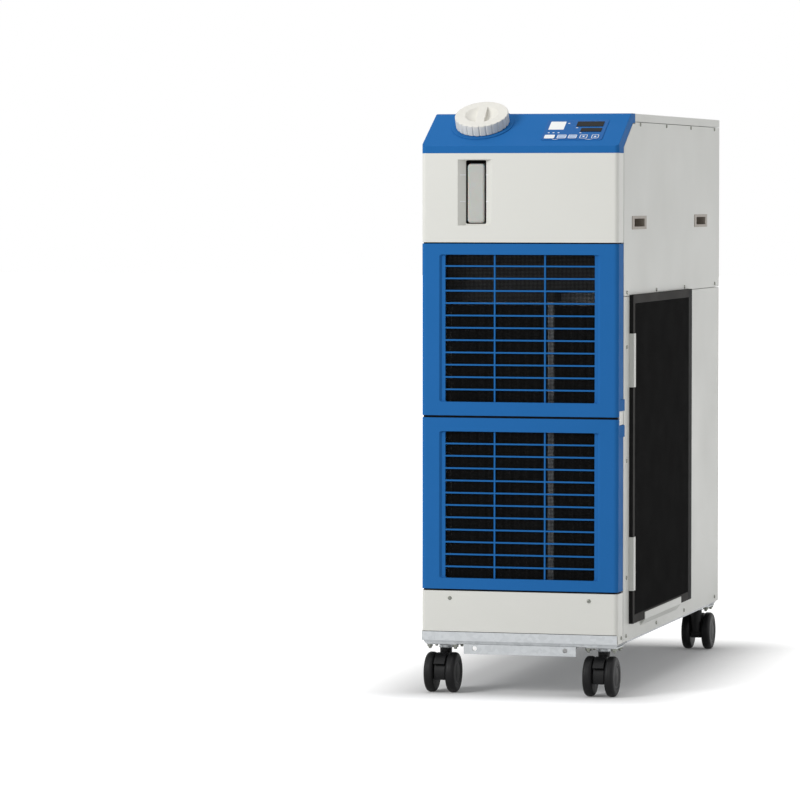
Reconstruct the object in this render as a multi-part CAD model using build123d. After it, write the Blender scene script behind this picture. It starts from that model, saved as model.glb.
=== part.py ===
from build123d import *
import os

os.makedirs("parts", exist_ok=True)

# Air-cooled water chiller on casters, in millimetres.
# X is the width with +X on the right as seen from the front, the front faces -Y, Z is up.
# The origin is on the floor under the middle of the cabinet.

# Cabinet
cabinet_width = 374.2
cabinet_depth = 958.5
cabinet_height = 1080.0
front_corner_radius = 8.0
front_module_depth = 45.5
panel_thickness = 12.0
panel_edge_radius = 1.5
panel_gap = 1.0
sheet = 2.5
post_size = 24.0

# Storeys
base_height = 17.8
lower_panel_height = 76.7
grille_seam_gap = 4.2
upper_panel_height = 165.0
side_lower_height = 641.9
top_cover_height = 15.0

# Control hood
hood_lip_height = 13.0
hood_slope_run = 108.5
hood_slope_rise = 59.8
hood_crown_drop = 1.7
hood_crown_blend = 8.0
hood_crown_length = 36.0
hood_tail_drop = 17.0
hood_tail_length = 20.0
hood_tail_fall = 1.0
hood_side_drop = 2.0

# Filler neck and its screw cap
cap_side_margin = 98.95
cap_up_slope = 84.8
cap_radius = 50.3
cap_height = 19.6
cap_collar_gap = 1.0
cap_wall = 4.0
cap_edge_radius = 1.5
cap_groove_count = 26
cap_groove_radius = 2.2
cap_groove_depth = 1.4
grip_radius = 31.0
grip_depth = 10.0
grip_bar_width = 16.0
grip_bar_turn = 5.0
collar_radius = 59.0
collar_height = 1.5
neck_cap_gap = 1.3
neck_wall = 5.0
neck_height = 6.5
gasket_thickness = 1.8
seal_gap = 0.2
filler_radius = 36.0
filler_depth = 15.0

# Control panel on the slope: a film, two windows and five keys
control_side_margin = 36.25
control_width = 116.0
control_low = 22.4
control_high = 100.4
control_film = 1.0
control_corner = 4.0
display_height = 0.8
display_corner = 1.0
display_spans = ((57.9, 108.9, 51.4, 70.2), (69.4, 109.0, 30.9, 44.4))
key_height = 0.8
key_corner = 2.0
key_low = 3.5
key_length = 15.0
key_spans = ((5.1, 25.5), (29.4, 47.4), (50.6, 67.5), (72.4, 87.6), (94.7, 109.1))

# Water level window in the upper front panel
window_side_margin = 69.5
window_width = 64.4
window_top_margin = 11.7
window_height = 122.1
window_depth = 12.0
window_bevel = 12.8
slot_bottom_margin = 3.0
slot_depth = 20.0
slot_corner = 3.0
boss_wall = 3.0
level_tube_side_gap = 3.3
level_tube_bottom_gap = 1.5
level_tube_top_gap = 6.6
level_tube_depth = 19.5
level_tube_corner = 6.0
level_tube_edge_radius = 4.0

# Grilles
opening_side_margin = 44.9
opening_inner_margin = 25.4
opening_outer_margin = 22.8
opening_bevel = 4.0
opening_lip = 6.5
opening_corner = 3.5
frame_thickness = 8.0
bar_pitch = 22.92
bar_thickness = 3.0
bar_depth = 4.0
bar_recess = 4.0
column_count = 3
notch_below_seam = 13.5
notch_above_seam = 13.0
notch_setback = 13.0
ear_reach = 2.8
frame_end_gap = 2.4
upper_ear_height = 21.0
lower_ear_height = 21.7
catch_gap = 0.3
catch_length = 24.0
net_margin = 5.0
net_thickness = 3.0

# Behind the grilles
cavity_depth = 60.0
bulkhead_thickness = 2.0
coil_depth = 30.0
coil_top_gap = 8.0
box_depth = 51.25
box_side_gap = 1.25
box_top_gap = 7.0
box_below_opening_top = 87.6
box_step = 18.0
box_step_x = 55.0

# Base
tray_sheet = 2.5
rail_sheet = 2.0
rail_side_inset = 1.0
rail_return_gap = 0.4
sill_width = 7.5
sill_height = 3.6
channel_drop = 6.2
channel_width = 76.0
channel_side_inset = 1.0
channel_end_slant = 4.5
anchor_half_width = 107.0
anchor_height = 18.2
anchor_thickness = 3.0
anchor_setback = 5.7
anchor_lip = 30.0
anchor_hole_x = 86.5
anchor_hole_drop = 7.7
anchor_hole_radius = 4.5

# Side panels and what they carry
side_front_gap = 2.8
pocket_length = 90.0
pocket_height = 15.0
pocket_depth = 24.0
pocket_wall = 1.5
pocket_rim_ends = 18.0
pocket_rim_sides = 5.0
pocket_rim_thickness = 1.0
pocket_below_top = 203.5
pocket_front_setback = 181.75
pocket_rear_setback = 193.0
filter_setback = 97.85
filter_length = 548.3
filter_base_margin = 30.2
filter_seam_overlap = 2.2
filter_thickness = 7.5
filter_border = 16.0
filter_rear_border = 32.0
filter_field_depth = 2.0
filter_corner = 3.0
clip_length = 100.0
clip_top_margin = 72.0
clip_bottom_margin = 62.2
clip_width = 17.0
clip_sheet = 1.4
clip_filter_gap = 0.3
ledge_setback = 104.4
ledge_length = 337.0
ledge_height = 13.3
ledge_joggle = 12.0
ledge_filter_gap = 0.2

# Rear
port_side_margin = 91.25
port_bore_radius = 16.6
port_outer_radius = 23.0
port_reach = 9.0
port_bore_length = 20.0
outlet_rise = 523.6
return_rise = 443.6
drain_rise = 43.6
drain_bore_radius = 8.0
drain_outer_radius = 13.0
gland_side_margin = 81.25
gland_rise = 523.6
gland_radius = 16.0
gland_bore_radius = 9.0
gland_reach = 9.5
gland_bore_length = 15.5

# Casters
caster_side_setback = 35.5
stem_setback = 46.75
caster_head_height = 17.4
caster_trail = 22.5
wheel_radius = 37.5
wheel_width = 17.8
wheel_gap = 23.5
wheel_edge_radius = 6.5
hub_radius = 24.0
hub_recess = 1.5
axle_radius = 4.0
axle_overlap = 1.0
running_gap = 0.05
housing_hood_radius = 36.5
housing_body_radius = 29.0
housing_hood_rise = 18.0
housing_side_gap = 1.5
housing_below_axle = 12.5
swivel_boss_radius = 11.3
pivot_radius = 5.0
pivot_length = 6.0
plate_size = 64.0
plate_corner = 8.0
plate_thickness = 2.5
caster_collar_radius = 11.8
caster_collar_height = 8.3
caster_collar_gap = 0.3

# Cuts start this far outside the face they enter.
cut_start = 1.0

# Places that follow from the sizes above
half_width = cabinet_width / 2
half_depth = cabinet_depth / 2
front = -half_depth
module_back = front + front_module_depth
bulkhead_front = module_back + cavity_depth
side_inner = half_width - panel_thickness
rear_inner = half_depth - panel_thickness
side_front = module_back + side_front_gap
post_inner = side_inner - post_size

channel_bottom = 2 * wheel_radius + caster_head_height
base_bottom = channel_bottom + channel_drop
base_top = base_bottom + base_height
lower_panel_top = base_top + lower_panel_height
side_seam = base_bottom + side_lower_height
hood_bottom = cabinet_height - hood_crown_drop - hood_slope_rise - hood_lip_height
upper_panel_bottom = hood_bottom - upper_panel_height
grille_seam = (lower_panel_top + upper_panel_bottom) / 2
cover_bottom = cabinet_height - top_cover_height
side_top = cover_bottom - panel_gap

fold_z = hood_bottom + hood_lip_height
crown_front = front + hood_slope_run
crown_back = crown_front + hood_crown_length
tail_top = cabinet_height - hood_tail_drop
slope = Plane(
    origin=(0, front, fold_z),
    x_dir=(1, 0, 0),
    z_dir=Vector(0, -hood_slope_rise, hood_slope_run).normalized(),
)
cap_x = cap_side_margin - half_width
neck_radius = cap_radius - cap_wall - neck_cap_gap
neck_top = collar_height + neck_height
cap_bottom = collar_height + cap_collar_gap
control_left = half_width - control_side_margin - control_width

window_left = window_side_margin - half_width
window_right = window_left + window_width
window_top = hood_bottom - window_top_margin
window_bottom = window_top - window_height
slot_left = window_left + window_bevel
slot_right = window_right - window_bevel
slot_bottom = window_bottom + slot_bottom_margin
slot_back = front + window_depth + slot_depth - boss_wall

opening_half_width = half_width - opening_side_margin
frame_half_gap = grille_seam_gap / 2
frame_height = upper_panel_bottom - grille_seam - frame_half_gap
opening_height = frame_height - opening_inner_margin - opening_outer_margin
opening_start = frame_half_gap + opening_inner_margin
box_bottom = grille_seam + opening_start + opening_height - box_below_opening_top
notch_front = front + notch_setback
notch_bottom = grille_seam - notch_below_seam
notch_top = grille_seam + notch_above_seam

filter_front = front + filter_setback
filter_rear = filter_front + filter_length
filter_bottom = base_bottom + filter_base_margin
filter_top = side_seam + filter_seam_overlap
filter_face = half_width + filter_thickness
pocket_z = cabinet_height - pocket_below_top
pocket_front_y = front + pocket_front_setback
pocket_rear_y = half_depth - pocket_rear_setback

caster_x = half_width - caster_side_setback
stem_y = half_depth - stem_setback
collar_bottom = channel_bottom - plate_thickness - caster_collar_height
swivel_boss_top = collar_bottom - caster_collar_gap


def block(x0, x1, y0, y1, z0, z1):
    """A box between two corners."""
    size = Box(x1 - x0, y1 - y0, z1 - z0)
    return Pos((x0 + x1) / 2, (y0 + y1) / 2, (z0 + z1) / 2) * size


def side_prism(points, x0, x1):
    """A prism with its outline in the YZ plane, from x0 to x1."""
    outline = make_face(Polyline(*[(x0, y, z) for y, z in points], close=True))
    return extrude(outline, amount=x1 - x0, dir=(1, 0, 0))


def front_prism(points, y0, y1):
    """A prism with its outline in the XZ plane, from y0 to y1."""
    outline = make_face(Polyline(*[(x, y0, z) for x, z in points], close=True))
    return extrude(outline, amount=y1 - y0, dir=(0, 1, 0))


def upright_prism(points, z0, z1):
    """A prism with its outline in the XY plane, from z0 to z1."""
    outline = make_face(Polyline(*[(x, y, z0) for x, y in points], close=True))
    return extrude(outline, amount=z1 - z0, dir=(0, 0, 1))


def disc_x(radius, x0, x1, y, z):
    """A cylinder along X."""
    return Pos((x0 + x1) / 2, y, z) * Rot(0, 90, 0) * Cylinder(radius, x1 - x0)


def disc_y(radius, x, y0, y1, z):
    """A cylinder along Y."""
    return Pos(x, (y0 + y1) / 2, z) * Rot(90, 0, 0) * Cylinder(radius, y1 - y0)


def disc_z(radius, x, y, z0, z1):
    """A cylinder along Z."""
    return Pos(x, y, (z0 + z1) / 2) * Cylinder(radius, z1 - z0)


def on_slope(shape, x, up, height):
    """Places a shape on the sloped face: across, up the slope and away from it."""
    return slope * Pos(x, up, height) * shape


def round_front_corners(solid, radius, inset=0):
    """Rounds the two upright corners at the front of a solid that is this much smaller than the cabinet."""
    corners = [
        edge
        for edge in solid.edges().filter_by(Axis.Z)
        if abs(edge.center().Y - front - inset) < 0.01
        and abs(abs(edge.center().X) - half_width + inset) < 0.01
    ]
    return fillet(corners, radius)


def front_module(z0, z1):
    """A front cover that wraps round both front corners, open at the back."""
    outer = block(-half_width, half_width, front, module_back, z0, z1)
    inner = block(
        sheet - half_width, half_width - sheet, front + sheet, module_back, z0 + sheet, z1 - sheet
    )
    inner = round_front_corners(inner, front_corner_radius - sheet, sheet)
    return round_front_corners(outer, front_corner_radius) - inner


nodes = {}


def add(name, *solids):
    nodes[name] = solids[0] if len(solids) == 1 else Compound(children=list(solids))


def mirrored(solid):
    return mirror(solid, about=Plane.YZ)


# Base
def base_tray():
    outer = block(-side_inner, side_inner, module_back, rear_inner, base_bottom, base_top)
    inner = block(
        tray_sheet - side_inner,
        side_inner - tray_sheet,
        module_back + tray_sheet,
        rear_inner - tray_sheet,
        base_bottom + tray_sheet,
        base_top,
    )
    return outer - inner


def base_rail(y0, y1, half):
    return block(-half, half, y0, y1, base_bottom, base_top - panel_gap)


def front_rail():
    """A rail whose front sheet covers the lower cover's side returns."""
    front_half = half_width - rail_side_inset
    half = half_width - sheet - rail_return_gap
    return base_rail(front, front + rail_sheet, front_half) + base_rail(front, module_back, half)


def side_sill():
    """A strip under a side panel, between the two cross channels."""
    outer = half_width - rail_side_inset
    half_length = stem_y - channel_width / 2 - panel_gap
    return block(outer - sill_width, outer, -half_length, half_length, base_bottom - sill_height, base_bottom)


def cross_channel(side):
    half = half_width - channel_side_inset
    middle = side * stem_y
    outline = [
        (-half, base_bottom),
        (half, base_bottom),
        (half - channel_end_slant, channel_bottom),
        (channel_end_slant - half, channel_bottom),
    ]
    return front_prism(outline, middle - channel_width / 2, middle + channel_width / 2)


def anchor_bracket(side):
    """An angle under the base with two holes in its hanging leg."""
    face = half_depth - anchor_setback
    leg = block(
        -anchor_half_width,
        anchor_half_width,
        face - anchor_thickness,
        face,
        channel_bottom - anchor_height,
        channel_bottom,
    )
    foot = block(
        -anchor_half_width,
        anchor_half_width,
        face - anchor_lip,
        face,
        channel_bottom - anchor_thickness,
        channel_bottom,
    )
    angle = leg + foot
    hole_z = channel_bottom - anchor_hole_drop
    for x in (-anchor_hole_x, anchor_hole_x):
        angle -= disc_y(anchor_hole_radius, x, face - anchor_thickness - cut_start, face + cut_start, hole_z)
    return angle if side > 0 else mirror(angle, about=Plane.XZ)


rear_rail = base_rail(rear_inner, half_depth, side_inner - panel_gap)
add("base_tray", base_tray())
add("base_rails", front_rail(), rear_rail, side_sill(), mirrored(side_sill()))
add("cross_channels", cross_channel(-1), cross_channel(1))
add("anchor_brackets", anchor_bracket(-1), anchor_bracket(1))


# Upright posts inside the four corners
def post(y0, top):
    return block(post_inner, side_inner, y0, y0 + post_size, base_top, top)


corner_posts = [post(module_back, hood_bottom), post(rear_inner - post_size, cabinet_height - sheet)]
add("corner_posts", *corner_posts, *[mirrored(p) for p in corner_posts])


# Control hood
def control_hood():
    outline = [
        (front, hood_bottom),
        (front, fold_z),
        (crown_front, cabinet_height - hood_crown_drop),
        (crown_front + hood_crown_blend, cabinet_height),
        (crown_back, cabinet_height),
        (crown_back, tail_top),
        (crown_back - hood_tail_length, tail_top - hood_tail_fall),
        (module_back, fold_z - hood_side_drop),
        (module_back, hood_bottom),
    ]
    hood = side_prism(outline, -half_width, half_width)
    hood = round_front_corners(hood, front_corner_radius)
    collar = Pos(0, 0, collar_height / 2) * Cylinder(collar_radius, collar_height)
    hood += on_slope(collar, cap_x, cap_up_slope, 0)
    well_height = filler_depth + collar_height
    well = Pos(0, 0, well_height / 2) * Cylinder(filler_radius, well_height)
    return hood - on_slope(well, cap_x, cap_up_slope, -filler_depth)


add("control_hood", control_hood())


# Filler neck, gasket and cap
def ring(outer, inner, height):
    return Pos(0, 0, height / 2) * (Cylinder(outer, height) - Cylinder(inner, height))


def finger_dish():
    """A shallow round dish with a bar left standing across it."""
    radius = (grip_radius**2 + grip_depth**2) / (2 * grip_depth)
    ball = Pos(0, 0, radius - grip_depth / 2) * Sphere(radius)
    dish = Cylinder(grip_radius, grip_depth) & ball
    return dish - Box(grip_bar_width, 3 * grip_radius, 2 * grip_depth)


def filler_cap():
    middle = cap_bottom + cap_height / 2
    body = Pos(0, 0, middle) * Cylinder(cap_radius, cap_height)
    body = fillet(body.edges().group_by(Axis.Z)[-1], cap_edge_radius)
    groove = Cylinder(cap_groove_radius, 2 * cap_height)
    reach = cap_radius + cap_groove_radius - cap_groove_depth
    for i in range(cap_groove_count):
        body -= Rot(0, 0, i * 360 / cap_groove_count) * Pos(reach, 0, middle) * groove
    hollow_top = neck_top + gasket_thickness + 2 * seal_gap
    hollow_height = hollow_top - cap_bottom
    body -= Pos(0, 0, cap_bottom + hollow_height / 2) * Cylinder(cap_radius - cap_wall, hollow_height)
    dish_middle = cap_bottom + cap_height - grip_depth / 2
    return body - Pos(0, 0, dish_middle) * Rot(0, 0, grip_bar_turn) * finger_dish()


neck = ring(neck_radius, neck_radius - neck_wall, neck_height)
gasket = ring(neck_radius, neck_radius - neck_wall, gasket_thickness)
add("filler_neck", on_slope(neck, cap_x, cap_up_slope, collar_height))
add("cap_gasket", on_slope(gasket, cap_x, cap_up_slope, neck_top + seal_gap))
add("filler_cap", on_slope(filler_cap(), cap_x, cap_up_slope, 0))


# Control panel
def slope_plate(x0, x1, low, high, bottom, thickness, corner):
    """A thin plate on the slope, its place taken from the film's lower left corner."""
    plate = Box(x1 - x0, high - low, thickness)
    plate = fillet(plate.edges().filter_by(Axis.Z), corner)
    x = control_left + (x0 + x1) / 2
    return on_slope(plate, x, control_low + (low + high) / 2, bottom + thickness / 2)


film_length = control_high - control_low
film = slope_plate(0, control_width, 0, film_length, 0, control_film, control_corner)
displays = [slope_plate(*span, control_film, display_height, display_corner) for span in display_spans]
keys = [
    slope_plate(x0, x1, key_low, key_low + key_length, control_film, key_height, key_corner)
    for x0, x1 in key_spans
]
add("control_panel", film)
add("display_windows", *displays)
add("key_pads", *keys)


# Upper front panel with the water level window
def front_upper_panel():
    panel = front_module(upper_panel_bottom, hood_bottom)
    panel += block(
        window_left - boss_wall,
        window_right + boss_wall,
        front + sheet,
        slot_back + boss_wall,
        window_bottom - boss_wall,
        window_top + boss_wall,
    )
    flare = [
        (window_left, front),
        (slot_left, front + window_depth),
        (slot_right, front + window_depth),
        (window_right, front),
    ]
    panel -= upright_prism(flare, window_bottom, window_top)
    slot = block(slot_left, slot_right, front, slot_back, slot_bottom, window_top - panel_gap)
    return panel - fillet(slot.edges().filter_by(Axis.Y), slot_corner)


def level_tube():
    tube = block(
        slot_left + level_tube_side_gap,
        slot_right - level_tube_side_gap,
        slot_back - level_tube_depth,
        slot_back,
        slot_bottom + level_tube_bottom_gap,
        window_top - panel_gap - level_tube_top_gap,
    )
    tube = fillet(tube.edges().filter_by(Axis.Y), level_tube_corner)
    return fillet(tube.edges().group_by(Axis.Y)[0], level_tube_edge_radius)


add("front_upper_panel", front_upper_panel())
add("level_tube", level_tube())


# Grille frames. Heights count away from the seam between them: up for side 1, down for side -1.
def away(side, near, far):
    heights = (grille_seam + side * near, grille_seam + side * far)
    return min(heights), max(heights)


def ear(z0, z1):
    """A flared finger grip at the rear edge of a grille frame, beside the notch."""
    outline = [
        (half_width - sheet, notch_front),
        (half_width, notch_front),
        (half_width + ear_reach, module_back),
        (half_width - sheet, module_back),
    ]
    return upright_prism(outline, z0, z1)


def grille_frame(side, ear_z0, ear_z1):
    z0, z1 = away(side, frame_half_gap, frame_half_gap + frame_height - frame_end_gap)
    open0, open1 = away(side, opening_start, opening_start + opening_height)
    frame = block(-half_width, half_width, front, module_back, z0, z1)
    frame = round_front_corners(frame, front_corner_radius)
    frame -= block(
        sheet - half_width,
        half_width - sheet,
        front + frame_thickness,
        module_back,
        z0 + sheet,
        z1 - sheet,
    )
    hole = block(-opening_half_width, opening_half_width, front, front + frame_thickness, open0, open1)
    frame -= fillet(hole.edges().filter_by(Axis.Y), opening_corner)
    recess_half = opening_half_width + opening_lip
    recess = [
        (-recess_half - opening_bevel, front),
        (-recess_half, front + bar_recess),
        (recess_half, front + bar_recess),
        (recess_half + opening_bevel, front),
    ]
    dish = upright_prism(recess, open0, open1)
    slanted = dish.edges() - dish.edges().filter_by(Axis.X) - dish.edges().filter_by(Axis.Z)
    frame -= fillet(slanted, opening_corner)
    y0 = front + bar_recess
    y1 = y0 + bar_depth
    for i in range(1, int(opening_height / bar_pitch) + 1):
        bar0, bar1 = away(
            side,
            opening_start + i * bar_pitch - bar_thickness / 2,
            opening_start + i * bar_pitch + bar_thickness / 2,
        )
        frame += block(-opening_half_width, opening_half_width, y0, y1, bar0, bar1)
    column = (2 * opening_half_width + bar_thickness) / column_count
    for i in range(1, column_count):
        x = i * column - bar_thickness - opening_half_width
        frame += block(x, x + bar_thickness, y0, y1, open0, open1)
    notch = block(post_inner, half_width, notch_front, module_back, notch_bottom, notch_top)
    frame -= notch + mirrored(notch)
    flare = ear(ear_z0, ear_z1)
    return frame + flare + mirrored(flare)


def net(side):
    near = opening_start - net_margin
    z0, z1 = away(side, near, opening_start + opening_height + net_margin)
    y0 = front + frame_thickness
    half = opening_half_width + net_margin
    return block(-half, half, y0, y0 + net_thickness, z0, z1)


add("grille_frame_upper", grille_frame(1, notch_top, notch_top + upper_ear_height))
add("grille_frame_lower", grille_frame(-1, notch_bottom - lower_ear_height, notch_bottom))
add("dust_nets", net(1), net(-1))


# Behind the grilles
def electrical_box():
    """A sheet box whose lower edge is stepped up on the right."""
    half = post_inner - box_side_gap
    top = hood_bottom - box_top_gap
    y0 = bulkhead_front - box_depth
    box = block(-half, half, y0, bulkhead_front, box_bottom, top)
    return box - block(box_step_x, half, y0, bulkhead_front, box_bottom, box_bottom + box_step)


add("electrical_box", electrical_box())
add(
    "condenser_coil",
    block(
        box_side_gap - post_inner,
        post_inner - box_side_gap,
        bulkhead_front - coil_depth,
        bulkhead_front,
        lower_panel_top,
        box_bottom - coil_top_gap,
    ),
)
add(
    "front_bulkhead",
    block(
        -side_inner,
        side_inner,
        bulkhead_front,
        bulkhead_front + bulkhead_thickness,
        base_top,
        hood_bottom,
    ),
)


def front_lower_panel():
    """The lower front cover, with side returns that reach down beside the base rail."""
    panel = front_module(base_top, lower_panel_top - panel_gap)
    leg = block(
        half_width - sheet,
        half_width,
        front + rail_sheet + rail_return_gap,
        module_back,
        base_bottom,
        base_top + sheet,
    )
    corner = front + front_corner_radius
    leg -= block(half_width - sheet, half_width, front, corner, base_top, base_top + sheet)
    return panel + leg + mirrored(leg)


add("front_lower_panel", front_lower_panel())


def catch_block():
    """A white catch on the front post that shows in the notch between the grille frames."""
    outer = half_width - catch_gap
    return block(
        outer - catch_length,
        outer,
        notch_front + catch_gap,
        module_back,
        notch_bottom + catch_gap,
        notch_top - catch_gap,
    )


add("catch_blocks", catch_block(), mirrored(catch_block()))


# Top cover
def top_cover():
    cover_front = crown_back + panel_gap
    outer = block(-half_width, half_width, cover_front, half_depth, cover_bottom, cabinet_height)
    outer = fillet(outer.edges().group_by(Axis.Z)[-1].filter_by(Axis.Y), panel_edge_radius)
    inner = block(
        sheet - half_width,
        half_width - sheet,
        cover_front + sheet,
        half_depth - sheet,
        cover_bottom,
        cabinet_height - sheet,
    )
    return outer - inner


add("top_cover", top_cover())


# Side panels
def pocket_block(y, margin, x0, x1):
    """A block round a lift pocket's opening, this much larger than it on every side."""
    half_length = pocket_length / 2 + margin
    half_height = pocket_height / 2 + margin
    return block(x0, x1, y - half_length, y + half_length, pocket_z - half_height, pocket_z + half_height)


def lift_pocket(y):
    """A cup set into the side panel, open to the outside, with a thin rim on the panel's face."""
    face = half_width + pocket_rim_thickness
    inside = half_width - pocket_depth
    half_length = pocket_length / 2 + pocket_rim_ends
    half_height = pocket_height / 2 + pocket_rim_sides
    rim = block(
        half_width,
        face,
        y - half_length,
        y + half_length,
        pocket_z - half_height,
        pocket_z + half_height,
    )
    cup = pocket_block(y, pocket_wall, inside, face)
    return rim + cup - pocket_block(y, 0, inside + pocket_wall, face)


def side_upper():
    outline = [
        (side_front, side_seam + panel_gap / 2),
        (half_depth, side_seam + panel_gap / 2),
        (half_depth, side_top),
        (crown_back + panel_gap, side_top),
        (crown_back + panel_gap, tail_top - hood_tail_fall - panel_gap),
        (crown_back - hood_tail_length + panel_gap, tail_top - hood_tail_fall - panel_gap),
        (side_front, fold_z - hood_side_drop),
    ]
    panel = side_prism(outline, side_inner, half_width)
    for y in (pocket_front_y, pocket_rear_y):
        panel -= pocket_block(y, pocket_wall, side_inner - cut_start, half_width + cut_start)
    return panel


def side_lower():
    return block(side_inner, half_width, side_front, half_depth, base_bottom, side_seam - panel_gap / 2)


add("side_panel_upper_right", side_upper())
add("side_panel_upper_left", mirrored(side_upper()))
add("side_panel_lower_right", side_lower())
add("side_panel_lower_left", mirrored(side_lower()))
pockets = [lift_pocket(y) for y in (pocket_front_y, pocket_rear_y)]
add("lift_pockets", *pockets, *[mirrored(p) for p in pockets])


def side_filter():
    frame = block(half_width, filter_face, filter_front, filter_rear, filter_bottom, filter_top)
    frame = fillet(frame.edges().filter_by(Axis.X), filter_corner)
    field = block(
        filter_face - filter_field_depth,
        filter_face,
        filter_front + filter_border,
        filter_rear - filter_rear_border,
        filter_bottom + filter_border,
        filter_top - filter_border,
    )
    return frame - field


def filter_clip(z0):
    """A bent strip that wraps the front edge of the side filter."""
    z1 = z0 + clip_length
    y0 = filter_front - clip_filter_gap - clip_sheet
    face = filter_face + clip_filter_gap
    strip = block(face, face + clip_sheet, y0, y0 + clip_width, z0, z1)
    turn = block(half_width, face + clip_sheet, y0, y0 + clip_sheet, z0, z1)
    return strip + turn


def filter_ledge():
    """A joggled ledge under the side filter, with a lip over the filter's lower border."""
    lip = filter_face + ledge_filter_gap
    seat = filter_bottom - ledge_filter_gap
    outline = [
        (half_width, seat - ledge_joggle),
        (lip + clip_sheet, seat),
        (lip + clip_sheet, filter_bottom + ledge_height),
        (lip, filter_bottom + ledge_height),
        (lip, seat),
        (half_width, seat),
    ]
    y0 = filter_front + ledge_setback
    return front_prism(outline, y0, y0 + ledge_length)


add("side_filter_right", side_filter())
add("side_filter_left", mirrored(side_filter()))
clips = [
    filter_clip(filter_top - clip_top_margin - clip_length),
    filter_clip(filter_bottom + clip_bottom_margin),
]
add("filter_clips", *clips, *[mirrored(c) for c in clips])
add("filter_ledges", filter_ledge(), mirrored(filter_ledge()))

# Rear
port_x = half_width - port_side_margin
outlet_z = base_top + outlet_rise
return_z = base_top + return_rise
drain_z = base_top + drain_rise
gland_x = gland_side_margin - half_width
gland_z = base_top + gland_rise


def rear_panel(z0, z1, holes):
    panel = block(panel_gap - side_inner, side_inner - panel_gap, rear_inner, half_depth, z0, z1)
    for x, z, radius in holes:
        panel -= disc_y(radius, x, rear_inner - cut_start, half_depth + cut_start, z)
    return panel


def socket(x, z, outer, bore):
    y1 = half_depth + port_reach
    return disc_y(outer, x, rear_inner, y1, z) - disc_y(bore, x, y1 - port_bore_length, y1, z)


port_holes = [
    (port_x, outlet_z, port_outer_radius),
    (port_x, return_z, port_outer_radius),
    (port_x, drain_z, drain_outer_radius),
    (gland_x, gland_z, gland_radius),
]
add("rear_panel_upper", rear_panel(side_seam + panel_gap / 2, side_top, []))
add("rear_panel_lower", rear_panel(base_top, side_seam - panel_gap / 2, port_holes))
add(
    "water_ports",
    socket(port_x, outlet_z, port_outer_radius, port_bore_radius),
    socket(port_x, return_z, port_outer_radius, port_bore_radius),
    socket(port_x, drain_z, drain_outer_radius, drain_bore_radius),
)
gland_end = half_depth + gland_reach
gland = disc_y(gland_radius, gland_x, rear_inner, gland_end, gland_z)
gland_bore = disc_y(gland_bore_radius, gland_x, gland_end - gland_bore_length, gland_end, gland_z)
add("power_gland", gland - gland_bore)


# Casters
def caster_plate(x, y):
    plate = block(
        x - plate_size / 2,
        x + plate_size / 2,
        y - plate_size / 2,
        y + plate_size / 2,
        channel_bottom - plate_thickness,
        channel_bottom,
    )
    plate = fillet(plate.edges().filter_by(Axis.Z), plate_corner)
    plate += disc_z(caster_collar_radius, x, y, collar_bottom, channel_bottom - plate_thickness)
    bore_top = swivel_boss_top + pivot_length + caster_collar_gap
    return plate - disc_z(pivot_radius + running_gap, x, y, collar_bottom, bore_top)


def caster_housing(x, y, trail):
    """The body between the wheels under a hood as high as they are, with a boss and a pivot on top."""
    half = wheel_gap / 2 - housing_side_gap
    axle_y = y + trail
    flat = wheel_radius - housing_below_axle
    reach = housing_hood_radius
    body = disc_x(housing_body_radius, x - half, x + half, axle_y, wheel_radius)
    body -= block(x - half, x + half, axle_y - reach, axle_y + reach, 0, flat)
    hood = disc_x(reach, x - half, x + half, axle_y, wheel_radius)
    hood -= block(x - half, x + half, axle_y - reach, axle_y + reach, 0, wheel_radius + housing_hood_rise)
    body += hood
    # The boss is as narrow as the body up to a little above the wheels.
    boss = disc_z(swivel_boss_radius, x, y, wheel_radius, swivel_boss_top)
    wide = block(
        x - swivel_boss_radius,
        x + swivel_boss_radius,
        y - swivel_boss_radius,
        y + swivel_boss_radius,
        wheel_radius,
        2 * wheel_radius + housing_side_gap,
    )
    narrow = block(
        x - half,
        x + half,
        y - swivel_boss_radius,
        y + swivel_boss_radius,
        wheel_radius,
        2 * wheel_radius + housing_side_gap,
    )
    body += boss - (wide - narrow)
    body += disc_z(pivot_radius, x, y, swivel_boss_top, swivel_boss_top + pivot_length)
    return body - disc_x(axle_radius + running_gap, x - half, x + half, axle_y, wheel_radius)


def wheel(x0, x1, y, outer_side):
    disc = disc_x(wheel_radius, x0, x1, y, wheel_radius)
    disc = fillet(disc.edges().filter_by(GeomType.CIRCLE), wheel_edge_radius)
    face = x1 if outer_side > 0 else x0
    return disc - disc_x(hub_radius, face - hub_recess, face + hub_recess, y, wheel_radius)


def caster_wheels(x, y):
    inner = wheel_gap / 2
    outer = inner + wheel_width
    pair = wheel(x + inner, x + outer, y, 1) + wheel(x - outer, x - inner, y, -1)
    reach = inner + axle_overlap
    return pair + disc_x(axle_radius, x - reach, x + reach, y, wheel_radius)


corners = (
    ("front_left", -1, -1),
    ("front_right", 1, -1),
    ("rear_left", -1, 1),
    ("rear_right", 1, 1),
)
plates = []
for corner, side, end in corners:
    stem_x = side * caster_x
    plates.append(caster_plate(stem_x, end * stem_y))
    add("caster_housing_" + corner, caster_housing(stem_x, end * stem_y, end * caster_trail))
    add("caster_wheels_" + corner, caster_wheels(stem_x, end * (stem_y + caster_trail)))
add("caster_plates", *plates)

for name, shape in nodes.items():
    export_step(shape, "parts/" + name + ".step")
print(len(nodes), "nodes")
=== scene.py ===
# %% [markdown]
# # A water chiller on casters
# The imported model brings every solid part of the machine, true to size and already in place. This lesson adds what a
# solid leaves out: finishes with the right grain, the nets in the two grilles and in the side filters, the fins of
# the coil, screws, printed marks, turned rings and threads, and a small white studio round it all.

import math

import bmesh
import bpy
from mathutils import Euler, Matrix, Vector


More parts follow.
